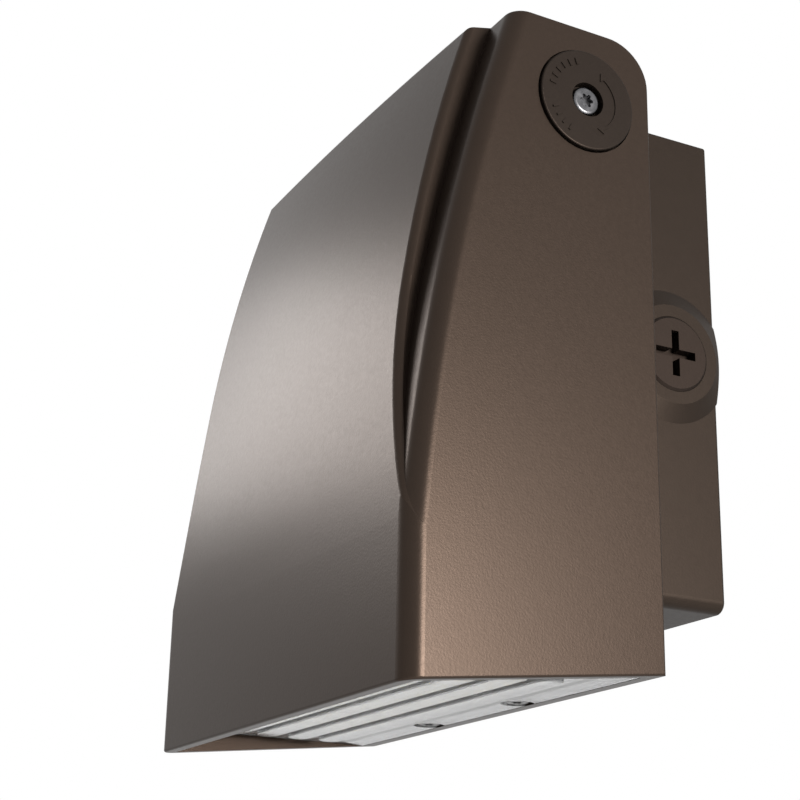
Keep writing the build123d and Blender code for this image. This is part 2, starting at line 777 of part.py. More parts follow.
terminal_face_y = cover_front_y - terminal_depth
with BuildPart() as terminal_block:
    with BuildSketch(xz_plane(cover_front_y)):
        with Locations((0, terminal_z)):
            Rectangle(terminal_width, terminal_height)
    extrude(amount=terminal_depth)
    fillet(terminal_block.faces().sort_by(Axis.Y)[0].edges(), terminal_edge_radius)
    with BuildSketch(xz_plane(cover_front_y)):
        with Locations((0, terminal_z)):
            Rectangle(terminal_spigot_width, terminal_spigot_height)
    extrude(amount=-terminal_spigot_depth)
    with BuildSketch(xz_plane(cover_front_y + terminal_spigot_depth)):
        with Locations((0, terminal_z)):
            with GridLocations(terminal_pitch, 1, terminal_ways, 1):
                Circle(terminal_entry_radius)
    extrude(amount=terminal_entry_depth, mode=Mode.SUBTRACT)
    with BuildSketch(xz_plane(terminal_face_y)):
        with Locations((0, terminal_z)):
            with GridLocations(terminal_pitch, 1, terminal_ways, 1):
                Circle(terminal_screw_radius + screw_hole_clearance)
    extrude(amount=-terminal_screw_length - sink, mode=Mode.SUBTRACT)
save(terminal_block.part, "terminal_block")

with BuildPart() as terminal_screws:
    for i in range(terminal_ways):
        x = (i - (terminal_ways - 1) / 2) * terminal_pitch
        seat = Plane(origin=(x, terminal_face_y, terminal_z), x_dir=(1, 0, 0), z_dir=(0, -1, 0))
        add(screw(seat, terminal_screw_head_radius, terminal_screw_head_height,
                  terminal_screw_radius, terminal_screw_length))
save(terminal_screws.part, "terminal_screws")

with BuildPart() as supply_leads:
    with BuildSketch(Plane.XY.offset(driver_top_z)):
        with Locations((0, cover_front_y - supply_lead_back)):
            with GridLocations(terminal_pitch, 1, terminal_ways, 1):
                Circle(lead_radius)
    extrude(amount=terminal_z - terminal_height / 2 - driver_top_z)
save(supply_leads.part, "supply_leads")

with BuildPart() as led_leads:
    with BuildSketch(Plane.XY.offset(shelf_under_z)):
        with Locations((0, cover_front_y - led_lead_back)):
            with GridLocations(lead_spacing, 1, 2, 1):
                Circle(lead_radius)
    extrude(amount=driver_top_z - driver_height - shelf_under_z)
save(led_leads.part, "led_leads")

# ---------------------------------------------------------------- lock pins, right and left
disc_plane = Plane(origin=(disc_face_x, axis_y, axis_z), x_dir=(0, 1, 0), z_dir=(1, 0, 0))
with BuildPart() as lock_disc:
    with BuildSketch(disc_plane):
        Circle(disc_radius)
    extrude(amount=disc_back_x - disc_face_x)
    fillet(lock_disc.faces().sort_by(Axis.X)[-1].edges(), disc_edge_radius)
    with BuildSketch(disc_plane.offset(disc_back_x - disc_face_x)):
        Circle(pin_radius)
    extrude(amount=cam_outer - disc_back_x)
    with BuildSketch(disc_plane):
        Circle(lock_screw_radius + screw_hole_clearance)
    extrude(amount=cam_outer - disc_face_x, mode=Mode.SUBTRACT)
    with BuildSketch(disc_plane):
        Circle(disc_bore_radius)
    extrude(amount=-disc_bore_depth, mode=Mode.SUBTRACT)
    # curved double arrow and plain marks, raised on the face
    with BuildSketch(disc_plane):
        with BuildLine():
            CenterArc((0, 0), arrow_radius, arrow_start, arrow_end - arrow_start)
            offset(amount=mark_width / 2, side=Side.BOTH)
        make_face()
        for angle, turn in ((arrow_start, -1), (arrow_end, 1)):
            with PolarLocations(arrow_radius, 1, start_angle=angle):
                with Locations(Rotation(0, 0, 90 * turn)):
                    Triangle(a=arrow_head, b=arrow_head, c=arrow_head)
        for angle in (168, 156, 144, 132, 120, 108, 204, 216, 228, 240):
            with PolarLocations(tick_radius, 1, start_angle=angle):
                Rectangle(tick_length, mark_width)
    extrude(amount=mark_height)
save(lock_disc.part, "lock_disc_right")
save(mirror(lock_disc.part, about=Plane.YZ), "lock_disc_left")

with BuildPart() as lock_cam:
    with BuildSketch(yz_plane(cam_inner)):
        with Locations((axis_y, axis_z)):
            SlotOverall(cam_length, cam_width, rotation=90)
            Circle(lock_screw_radius + screw_hole_clearance, mode=Mode.SUBTRACT)
    extrude(amount=cam_thickness)
save(lock_cam.part, "lock_cam_right")
save(mirror(lock_cam.part, about=Plane.YZ), "lock_cam_left")

screw_seat = disc_plane.offset(-disc_bore_depth)
lock_screw = screw(screw_seat, lock_screw_head_radius, lock_screw_head_height, lock_screw_radius,
                   disc_face_x - disc_bore_depth - cam_inner)
save(lock_screw, "lock_screw_right")
save(mirror(lock_screw, about=Plane.YZ), "lock_screw_left")

# ---------------------------------------------------------------- back box
with BuildPart() as conduit_bosses:
    for side in (1, -1):
        with BuildSketch(yz_plane(side * box_half)):
            with Locations((-conduit_from_wall, conduit_z)):
                Circle(conduit_boss_base)
        with BuildSketch(yz_plane(side * (box_half + conduit_boss_height))):
            with Locations((-conduit_from_wall, conduit_z)):
                Circle(conduit_boss_top)
        loft()
        with BuildSketch(yz_plane(side * (box_half - box_wall - conduit_inner_boss_depth))):
            with Locations((-conduit_from_wall, conduit_z)):
                Circle(conduit_inner_boss_radius)
        extrude(amount=side * (box_wall + conduit_inner_boss_depth))
    with BuildSketch(xz_plane(0)):
        Rectangle(head_width, box_height)
    extrude(amount=box_depth, mode=Mode.INTERSECT)

with BuildPart() as back_box:
    with BuildSketch(xz_plane(0)):
        Rectangle(2 * box_half, box_height)
        fillet(vertices().group_by(Axis.Y)[0], box_lower_corner_radius)
        fillet(vertices().group_by(Axis.Y)[-1], box_upper_corner_radius)
    extrude(amount=box_depth)
    fillet(back_box.faces().sort_by(Axis.Y)[-1].edges(), box_back_edge_radius)
    with BuildSketch(xz_plane(-box_back)):
        Rectangle(2 * (box_half - box_wall), box_height - 2 * box_wall)
    extrude(amount=box_depth - box_back - box_rim, mode=Mode.SUBTRACT)
    with BuildSketch(xz_plane(box_rim - box_depth + sink)):
        add(flange_outline(rim_points))
    extrude(amount=box_rim + 2 * sink, mode=Mode.SUBTRACT)
    with BuildSketch(xz_plane(corner_block_depth - box_depth)):
        for side in (1, -1):
            with Locations((side * (box_half - sink - corner_block_width / 2),
                            box_top - sink - corner_block_height / 2)):
                Rectangle(corner_block_width, corner_block_height)
    extrude(amount=corner_block_depth)
    for side in (1, -1):
        with BuildSketch(yz_plane(side * ear_inner)):
            with BuildLine():
                Polyline(
                    (axis_y, axis_z - ear_radius),
                    (box_front_y + sink, axis_z - ear_radius),
                    (box_front_y + sink, box_top),
                    (axis_y, axis_z + ear_radius),
                    close=True,
                )
            make_face()
            with Locations((axis_y, axis_z)):
                Circle(ear_radius)
        extrude(amount=side * ear_thickness)
        with BuildSketch(yz_plane(side * ear_inner)):
            with Locations((axis_y, axis_z)):
                Circle(pin_bore)
                SlotOverall(*cam_slot)
        extrude(amount=side * ear_thickness, mode=Mode.SUBTRACT)
    add(conduit_bosses.part)
    with BuildSketch(yz_plane(-head_half)):
        with Locations((-conduit_from_wall, conduit_z)):
            Circle(conduit_radius)
    extrude(amount=head_width, mode=Mode.SUBTRACT)
    with BuildSketch(xz_plane(-box_back)):
        with Locations((ground_x, ground_z)):
            Circle(ground_boss_radius)
    extrude(amount=ground_boss_height)
    with BuildSketch(xz_plane(-box_back - ground_boss_height)):
        with Locations((ground_x, ground_z)):
            Circle(ground_screw_radius + screw_hole_clearance)
    extrude(amount=-ground_screw_length - sink, mode=Mode.SUBTRACT)
    with BuildSketch(xz_plane(0)):
        Circle(wire_entry_radius)
        with GridLocations(wall_hole_spacing_x, wall_hole_spacing_z, 2, 2):
            Circle(wall_hole_radius)
    extrude(amount=box_back, mode=Mode.SUBTRACT)
save(back_box.part, "back_box")

with BuildPart() as box_gasket:
    with BuildSketch(xz_plane(box_front_y)):
        add(flange_outline(rim_points, box_gasket_inset + box_gasket_width))
        add(flange_outline(rim_points, box_gasket_inset), mode=Mode.SUBTRACT)
    extrude(amount=box_gasket_thickness)
save(box_gasket.part, "box_gasket")

plug_face_x = box_half + conduit_boss_height + plug_proud
with BuildPart() as conduit_plug:
    with BuildSketch(yz_plane(plug_face_x)):
        with Locations((-conduit_from_wall, conduit_z)):
            Circle(conduit_radius - plug_clearance)
    extrude(amount=-plug_length)
    chamfer(conduit_plug.faces().sort_by(Axis.X)[-1].edges(), plug_edge)
    with BuildSketch(yz_plane(plug_face_x)):
        with Locations((-conduit_from_wall, conduit_z)):
            Rectangle(plug_slot_length, plug_slot_width)
            Rectangle(plug_slot_width, plug_slot_length)
    extrude(amount=-plug_slot_depth, mode=Mode.SUBTRACT)
save(conduit_plug.part, "conduit_plug_right")
save(mirror(conduit_plug.part, about=Plane.YZ), "conduit_plug_left")

ground_seat = Plane(
    origin=(ground_x, -box_back - ground_boss_height, ground_z), x_dir=(1, 0, 0), z_dir=(0, -1, 0)
)
save(screw(ground_seat, ground_screw_head_radius, ground_screw_head_height, ground_screw_radius,
           ground_screw_length), "ground_screw")
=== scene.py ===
import logging
from dataclasses import dataclass, field
from enum import Enum
from functools import cached_property
from typing import Protocol

import bmesh
import bpy
from mathutils import Matrix, Vector


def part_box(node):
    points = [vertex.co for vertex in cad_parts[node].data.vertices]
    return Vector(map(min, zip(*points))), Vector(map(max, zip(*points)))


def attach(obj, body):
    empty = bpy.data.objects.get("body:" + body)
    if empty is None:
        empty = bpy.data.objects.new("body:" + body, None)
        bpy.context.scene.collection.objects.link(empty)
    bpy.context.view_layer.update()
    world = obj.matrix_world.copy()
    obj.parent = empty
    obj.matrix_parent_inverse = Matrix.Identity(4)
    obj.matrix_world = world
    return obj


# Wall pack light: finishes for the cast head and box, the lens unit, the wiring parts and the
# quarter-turn lock pins, the printed tracks and solder of the lamp board, and a plain studio round
# them. Lengths are in metres.

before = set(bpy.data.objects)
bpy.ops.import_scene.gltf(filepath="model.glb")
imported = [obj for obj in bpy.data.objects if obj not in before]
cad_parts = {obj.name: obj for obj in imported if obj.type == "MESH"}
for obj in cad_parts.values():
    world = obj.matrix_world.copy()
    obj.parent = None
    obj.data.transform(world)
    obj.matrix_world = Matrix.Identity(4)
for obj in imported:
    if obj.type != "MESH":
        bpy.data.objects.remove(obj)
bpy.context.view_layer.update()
LOG = logging.getLogger("wall_pack")

Colour = tuple[float, float, float]
Point = tuple[float, float, float]
Span = tuple[float, float]
SRGB_TOP = 255.0
SRGB_KNEE = 0.04045
SRGB_SLOPE = 12.92
SRGB_OFFSET = 0.055
SRGB_SCALE = 1.055
SRGB_POWER = 2.4
NOISE_LOW = 0.3
NOISE_HIGH = 0.7


class Side(Enum):
    """The two sides of the light, seen from the front."""

    RIGHT = "right"
    LEFT = "left"


class Texture(Enum):
    """Surface patterns that a moulded finish can carry."""

    FINE_PEBBLE = "fine_pebble"
    SMOOTH = "smooth"


def srgb(red: int, green: int, blue: int) -> Colour:
    """Turn an 8-bit display colour into the linear one that shaders take.

    Args:
        red: red level, 0 to 255.
        green: green level, 0 to 255.
        blue: blue level, 0 to 255.

    Returns:
        The colour as three linear numbers from 0 to 1.
    """
    levels = []
    for value in (red, green, blue):
        level = value / SRGB_TOP
        curved = ((level + SRGB_OFFSET) / SRGB_SCALE) ** SRGB_POWER
        levels.append(level / SRGB_SLOPE if level <= SRGB_KNEE else curved)
    return (levels[0], levels[1], levels[2])


def toned(colour: Colour, factor: float) -> Colour:
    """Make a linear colour darker or paler.

    Args:
        colour: the colour.
        factor: what its levels are multiplied by.

    Returns:
        The new colour, with no level above 1.
    """
    red, green, blue = (min(1.0, level * factor) for level in colour)
    return (red, green, blue)


# ---------------------------------------------------------------- patterns
@dataclass(frozen=True)
class Pattern:
    """Noise: features in a metre, number of finer layers and how strong those are."""

    scale: float
    detail: float = 2.0
    rough: float = 0.5


@dataclass(frozen=True)
class Mottle:
    """Two shades in one surface: the noise, and its levels where the change starts and ends."""

    noise: Pattern
    low: float = 0.35
    high: float = 0.65


@dataclass(frozen=True)
class Gloss:
    """Uneven roughness: the noise, and how far it goes below and above the middle."""

    noise: Pattern
    below: float
    above: float


@dataclass(frozen=True)
class Relief:
    """Raised texture: the noise, its height in metres and how much of it shows, 0 to 1."""

    noise: Pattern
    depth: float
    strength: float


class NodeSheet:
    """A material's node tree, with short calls to add and join its nodes."""

    def __init__(self, name: str) -> None:
        """Start an empty material that ends in one principled shader.

        Args:
            name: the material's name.
        """
        self.material = bpy.data.materials.new(name)
        self.material.use_nodes = True
        self.tree = self.material.node_tree
        self.tree.nodes.clear()
        self.output = self.tree.nodes.new("ShaderNodeOutputMaterial")
        self.shader = self.tree.nodes.new("ShaderNodeBsdfPrincipled")
        self.tree.links.new(self.shader.outputs["BSDF"], self.output.inputs["Surface"])
        self.place = self.tree.nodes.new("ShaderNodeTexCoord").outputs["Object"]

    def set(self, **values: object) -> None:
        """Set sockets of the shader; an underscore in a key stands for a space.

        Args:
            **values: socket names and what goes on them.
        """
        for key, value in values.items():
            socket = self.shader.inputs[key.replace("_", " ")]
            if isinstance(value, tuple) and len(value) == 3 and len(socket.default_value) == 4:
                value = (*value, 1.0)
            socket.default_value = value

    def feed(self, value: bpy.types.NodeSocket, socket: str) -> None:
        """Join a socket to one of the shader's inputs."""
        self.tree.links.new(value, self.shader.inputs[socket])

    def noise(self, pattern: Pattern) -> bpy.types.NodeSocket:
        """Add noise in the object's own space.

        Args:
            pattern: the noise to add.

        Returns:
            The noise's value socket.
        """
        node = self.tree.nodes.new("ShaderNodeTexNoise")
        node.inputs["Scale"].default_value = pattern.scale
        node.inputs["Detail"].default_value = pattern.detail
        node.inputs["Roughness"].default_value = pattern.rough
        self.tree.links.new(self.place, node.inputs["Vector"])
        return node.outputs["Fac"]

    def pebbles(self, scale: float) -> bpy.types.NodeSocket:
        """Add a pattern of small rounded cells.

        Args:
            scale: how many cells fit in a metre.

        Returns:
            The pattern's distance socket.
        """
        node = self.tree.nodes.new("ShaderNodeTexVoronoi")
        node.feature = "SMOOTH_F1"
        node.inputs["Scale"].default_value = scale
        self.tree.links.new(self.place, node.inputs["Vector"])
        return node.outputs["Distance"]

    def tint(self, mottle: Mottle, start: Colour, end: Colour) -> None:
        """Let the base colour change between two shades.

        Args:
            mottle: the noise and the levels between which the shade changes.
            start: shade where the noise is low.
            end: shade where the noise is high.
        """
        value = self.noise(mottle.noise)
        node = self.tree.nodes.new("ShaderNodeValToRGB")
        node.color_ramp.elements[0].position = mottle.low
        node.color_ramp.elements[1].position = mottle.high
        node.color_ramp.elements[0].color = (*start, 1.0)
        node.color_ramp.elements[1].color = (*end, 1.0)
        self.tree.links.new(value, node.inputs["Fac"])
        self.feed(node.outputs["Color"], "Base Color")

    def roughen(self, value: bpy.types.NodeSocket, low: float, high: float) -> None:
        """Let the roughness follow the middle range of a noise.

        Args:
            value: the noise.
            low: roughness where the noise is low.
            high: roughness where the noise is high.
        """
        node = self.tree.nodes.new("ShaderNodeMapRange")
        node.inputs["From Min"].default_value = NOISE_LOW
        node.inputs["From Max"].default_value = NOISE_HIGH
        node.inputs["To Min"].default_value = low
        node.inputs["To Max"].default_value = high
        self.tree.links.new(value, node.inputs["Value"])
        self.feed(node.outputs["Result"], "Roughness")

    def polish(self, roughness: float, gloss: Gloss) -> None:
        """Give the surface a roughness that is a little uneven.

        Args:
            roughness: the middle roughness.
            gloss: how it changes.
        """
        self.roughen(self.noise(gloss.noise), roughness - gloss.below, roughness + gloss.above)

    def bump(self, value: bpy.types.NodeSocket, depth: float, strength: float) -> None:
        """Raise the surface by a pattern, on top of any bump there already.

        Args:
            value: the pattern of heights.
            depth: height of the pattern in metres.
            strength: how much of it shows, 0 to 1.
        """
        node = self.tree.nodes.new("ShaderNodeBump")
        node.inputs["Distance"].default_value = depth
        node.inputs["Strength"].default_value = strength
        self.tree.links.new(value, node.inputs["Height"])
        normal = self.shader.inputs["Normal"]
        if normal.is_linked:
            self.tree.links.new(normal.links[0].from_socket, node.inputs["Normal"])
        self.tree.links.new(node.outputs["Normal"], normal)

    def emboss(self, relief: Relief) -> None:
        """Raise the surface by a noise."""
        self.bump(self.noise(relief.noise), relief.depth, relief.strength)


# ---------------------------------------------------------------- finishes
class Finish(Protocol):
    """What every finish offers to the unit that wears it."""

    @property
    def name(self) -> str:
        """Name of the material."""

    def material(self) -> bpy.types.Material:
        """Build the material."""


@dataclass(frozen=True)
class PowderCoat:
    """Baked powder paint on a die casting, with a very fine orange-peel texture."""

    name: str
    colour: Colour
    roughness: float = 0.34
    shine: float = 0.05
    sheen_edge: float = 0.8
    metal: float = 0.75
    ior: float = 1.5
    shade: float = 0.97
    mottle: Mottle = Mottle(Pattern(260.0, 5.0, 0.65))
    gloss: Gloss = Gloss(Pattern(900.0, 3.0), 0.015, 0.02)
    swell: Relief = Relief(Pattern(320.0), 0.00004, 0.15)
    grain: Relief = Relief(Pattern(1900.0, rough=0.6), 0.00005, 0.4)

    def material(self) -> bpy.types.Material:
        """Build the material.

        Returns:
            A paint with slight mottling, uneven gloss and two sizes of texture.
        """
        sheet = NodeSheet(self.name)
        sheet.tint(self.mottle, toned(self.colour, self.shade), self.colour)
        sheet.polish(self.roughness, self.gloss)
        sheet.set(Metallic=self.metal, IOR=self.ior, Specular_IOR_Level=self.shine)
        sheet.set(Specular_Tint=(self.sheen_edge, self.sheen_edge, self.sheen_edge))
        sheet.emboss(self.swell)
        sheet.emboss(self.grain)
        return sheet.material


@dataclass(frozen=True)
class ClearPolycarbonate:
    """Clear moulded lens with a faint haze."""

    name: str = "lens_polycarbonate"
    colour: Colour = (0.97, 0.98, 0.99)
    roughness: float = 0.17
    clearness: float = 0.9
    ior: float = 1.58
    haze: Gloss = Gloss(Pattern(90.0, 3.0), 0.04, 0.05)
    wave: Relief = Relief(Pattern(55.0, 1.0), 0.0003, 0.2)

    def material(self) -> bpy.types.Material:
        """Build the material.

        Returns:
            A see-through plastic with a light moulded waviness.
        """
        sheet = NodeSheet(self.name)
        sheet.set(Base_Color=self.colour, IOR=self.ior, Metallic=0.0)
        sheet.set(Transmission_Weight=self.clearness)
        sheet.polish(self.roughness, self.haze)
        sheet.emboss(self.wave)
        return sheet.material


@dataclass(frozen=True)
class Silicone:
    """Soft grey sealing rubber."""

    name: str = "seal_silicone"
    colour: Colour = (0.35, 0.35, 0.34)
    roughness: float = 0.75
    bloom: float = 1.25
    mottle: Mottle = Mottle(Pattern(220.0, 4.0), 0.4, 0.7)
    gloss: Gloss = Gloss(Pattern(300.0, 3.0), 0.07, 0.07)
    skin: Relief = Relief(Pattern(900.0), 0.00005, 0.5)

    def material(self) -> bpy.types.Material:
        """Build the material.

        Returns:
            A dull rubber with a dusty bloom.
        """
        sheet = NodeSheet(self.name)
        sheet.tint(self.mottle, self.colour, toned(self.colour, self.bloom))
        sheet.polish(self.roughness, self.gloss)
        sheet.emboss(self.skin)
        return sheet.material


@dataclass(frozen=True)
class ScrewSteel:
    """Steel of a pan-head screw, plated or blackened, and the solder on the lamp board."""

    name: str
    colour: Colour
    roughness: float
    metal: float = 1.0
    stain: float = 0.72
    mottle: Mottle = Mottle(Pattern(700.0, 4.0), 0.35, 0.6)
    gloss: Gloss = Gloss(Pattern(500.0, 3.0), 0.08, 0.08)
    turning: Relief = Relief(Pattern(2600.0), 0.00002, 0.5)

    def material(self) -> bpy.types.Material:
        """Build the material.

        Returns:
            A metal with fine turning marks and small stains.
        """
        sheet = NodeSheet(self.name)
        sheet.tint(self.mottle, toned(self.colour, self.stain), self.colour)
        sheet.polish(self.roughness, self.gloss)
        sheet.set(Metallic=self.metal)
        sheet.emboss(self.turning)
        return sheet.material


@dataclass(frozen=True)
class SheetMetal:
    """Plain rolled aluminium sheet."""

    name: str = "cover_sheet"
    colour: Colour = (0.62, 0.63, 0.64)
    smoothest: float = 0.34
    roughest: float = 0.5
    stretch: float = 0.04
    lines: Relief = Relief(Pattern(1400.0, 3.0, 0.6), 0.00003, 0.4)

    def material(self) -> bpy.types.Material:
        """Build the material.

        Returns:
            A metal with long rolling lines across the light.
        """
        sheet = NodeSheet(self.name)
        mapping = sheet.tree.nodes.new("ShaderNodeMapping")
        mapping.inputs["Scale"].default_value = (self.stretch, 1.0, 1.0)
        sheet.tree.links.new(sheet.place, mapping.inputs["Vector"])
        sheet.place = mapping.outputs["Vector"]
        lines = sheet.noise(self.lines.noise)
        sheet.set(Base_Color=self.colour, Metallic=1.0)
        sheet.roughen(lines, self.smoothest, self.roughest)
        sheet.bump(lines, self.lines.depth, self.lines.strength)
        return sheet.material


@dataclass(frozen=True)
class MouldedPlastic:
    """Opaque plastic or lacquer, smooth or pebbled."""

    name: str
    colour: Colour
    roughness: float
    texture: Texture = Texture.SMOOTH
    cloud: float = 0.93
    mottle: Mottle = Mottle(Pattern(180.0, 3.0))
    gloss: Gloss = Gloss(Pattern(350.0), 0.05, 0.05)
    skin: Relief = Relief(Pattern(260.0), 0.00004, 0.3)
    pebble_scale: float = 1100.0
    pebble_depth: float = 0.00005
    pebble_strength: float = 0.5

    def material(self) -> bpy.types.Material:
        """Build the material.

        Returns:
            A plastic with a trace of cloudiness and the chosen texture.
        """
        sheet = NodeSheet(self.name)
        sheet.tint(self.mottle, toned(self.colour, self.cloud), self.colour)
        sheet.polish(self.roughness, self.gloss)
        if self.texture is Texture.FINE_PEBBLE:
            sheet.bump(sheet.pebbles(self.pebble_scale), self.pebble_depth, self.pebble_strength)
        else:
            sheet.emboss(self.skin)
        return sheet.material


@dataclass(frozen=True)
class LeadRow:
    """Insulation of a row of leads, with a colour of its own for each lead."""

    name: str
    pitch: float
    colours: tuple[Colour, ...]
    roughness: float = 0.5
    gloss: Gloss = Gloss(Pattern(350.0), 0.05, 0.05)
    skin: Relief = Relief(Pattern(600.0), 0.00003, 0.3)

    def material(self) -> bpy.types.Material:
        """Build the material.

        Returns:
            A plastic whose colour changes from lead to lead across the light.
        """
        sheet = NodeSheet(self.name)
        axes = sheet.tree.nodes.new("ShaderNodeSeparateXYZ")
        sheet.tree.links.new(sheet.place, axes.inputs["Vector"])
        reach = self.pitch * len(self.colours) / 2
        along = sheet.tree.nodes.new("ShaderNodeMapRange")
        along.inputs["From Min"].default_value = -reach
        along.inputs["From Max"].default_value = reach
        sheet.tree.links.new(axes.outputs["X"], along.inputs["Value"])
        bands = sheet.tree.nodes.new("ShaderNodeValToRGB")
        bands.color_ramp.interpolation = "CONSTANT"
        bands.color_ramp.elements[0].color = (*self.colours[0], 1.0)
        bands.color_ramp.elements[1].position = 1.0 / len(self.colours)
        bands.color_ramp.elements[1].color = (*self.colours[1], 1.0)
        for index, colour in enumerate(self.colours[2:], start=2):
            bands.color_ramp.elements.new(index / len(self.colours)).color = (*colour, 1.0)
        sheet.tree.links.new(along.outputs["Result"], bands.inputs["Fac"])
        sheet.feed(bands.outputs["Color"], "Base Color")
        sheet.polish(self.roughness, self.gloss)
        sheet.emboss(self.skin)
        return sheet.material


BRONZE = PowderCoat("bronze_powder_coat", srgb(57, 48, 42))
# The box wears the same bronze coat as the head. Its colour here is darker: painted shade from the
# head above it.
BRONZE_BOX_PAINTED_SHADE = PowderCoat("bronze_coat_with_painted_shade", srgb(48, 41, 36), roughness=0.4, shine=0.03)
BRONZE_DISC = PowderCoat("bronze_disc_coat", srgb(43, 37, 33), roughness=0.42)
BRONZE_PLUG = PowderCoat("bronze_plug_coat", srgb(45, 38, 34), roughness=0.45, shine=0.03)
LENS = ClearPolycarbonate()
SEAL = Silicone()
BLACK_STEEL = ScrewSteel("screw_black_oxide", srgb(92, 91, 90), roughness=0.34)
ZINC_STEEL = ScrewSteel("screw_zinc_plate", srgb(200, 201, 203), roughness=0.3)
LOCK_STEEL = ScrewSteel("screw_dark_zinc", srgb(104, 104, 106), roughness=0.3)
GREEN_STEEL = ScrewSteel("screw_green_ground", srgb(38, 118, 62), roughness=0.45, metal=0.4)
COVER_SHEET = SheetMetal()
BOARD = MouldedPlastic("board_solder_mask", srgb(240, 240, 238), roughness=0.35)
TRACK_MASK = MouldedPlastic("board_track_mask", srgb(222, 224, 220), roughness=0.3)
SOLDER = ScrewSteel("chip_solder", srgb(205, 206, 208), roughness=0.26)
PHOSPHOR = MouldedPlastic("chip_phosphor", srgb(250, 224, 96), roughness=0.4)
DRIVER_CASE = MouldedPlastic(
    "driver_case", srgb(226, 226, 222), roughness=0.55, texture=Texture.FINE_PEBBLE
)
TERMINAL = MouldedPlastic("terminal_block_plastic", srgb(150, 154, 158), roughness=0.45)
INSULATION_BLACK = srgb(34, 34, 36)
INSULATION_WHITE = srgb(222, 222, 218)
INSULATION_GREEN = srgb(40, 130, 70)
INSULATION_RED = srgb(170, 36, 30)
SUPPLY_LEAD_PITCH = 0.009
LAMP_LEAD_PITCH = 0.010
SUPPLY_LEADS = LeadRow(
    "supply_lead_row", SUPPLY_LEAD_PITCH, (INSULATION_BLACK, INSULATION_WHITE, INSULATION_GREEN)
)
LED_LEADS = LeadRow("lamp_lead_row", LAMP_LEAD_PITCH, (INSULATION_RED, INSULATION_BLACK))


# ---------------------------------------------------------------- sub-assemblies
@dataclass
class Unit:
    """A group of CAD nodes and the finish of each."""

    finishes: dict[str, Finish] = field(default_factory=dict)

    def dress(self) -> None:
        """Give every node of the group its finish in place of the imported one."""
        for node, finish in self.finishes.items():
            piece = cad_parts[node]
            material = bpy.data.materials.get(finish.name) or finish.material()
            for index in range(len(piece.material_slots)):
                piece.material_slots[index].link = "OBJECT"
                piece.material_slots[index].material = material
            LOG.info("%s: %s", node, finish.name)


@dataclass
class BackBox(Unit):
    """Cast box on the wall, with its seal, side plugs and ground screw."""

    finishes: dict[str, Finish] = field(
        default_factory=lambda: {
            # darker bronze: painted shade from the head
            "back_box": BRONZE_BOX_PAINTED_SHADE,
            "box_gasket": SEAL,
            "conduit_plug_right": BRONZE_PLUG,
            "conduit_plug_left": BRONZE_PLUG,
            "ground_screw": GREEN_STEEL,
        }
    )


@dataclass
class HeadCasting(Unit):
    """Cast housing that swings up, with the cover that closes it behind."""

    finishes: dict[str, Finish] = field(
        default_factory=lambda: {
            "housing": BRONZE,
            "rear_cover": COVER_SHEET,
            "cover_gasket": SEAL,
            "cover_screws": ZINC_STEEL,
        }
    )


@dataclass
class LensUnit(Unit):
    """Ribbed lens under the lamp, with its seal and two screws."""

    finishes: dict[str, Finish] = field(
        default_factory=lambda: {
            "lens": LENS,
            "lens_gasket": SEAL,
            "lens_screws": BLACK_STEEL,
        }
    )


@dataclass
class DriverTray(Unit):
    """Driver, terminals and leads inside the head."""

    finishes: dict[str, Finish] = field(
        default_factory=lambda: {
            "driver": DRIVER_CASE,
            "driver_screws": ZINC_STEEL,
            "terminal_block": TERMINAL,
            "terminal_screws": ZINC_STEEL,
            "supply_leads": SUPPLY_LEADS,
            "led_leads": LED_LEADS,
        }
    )


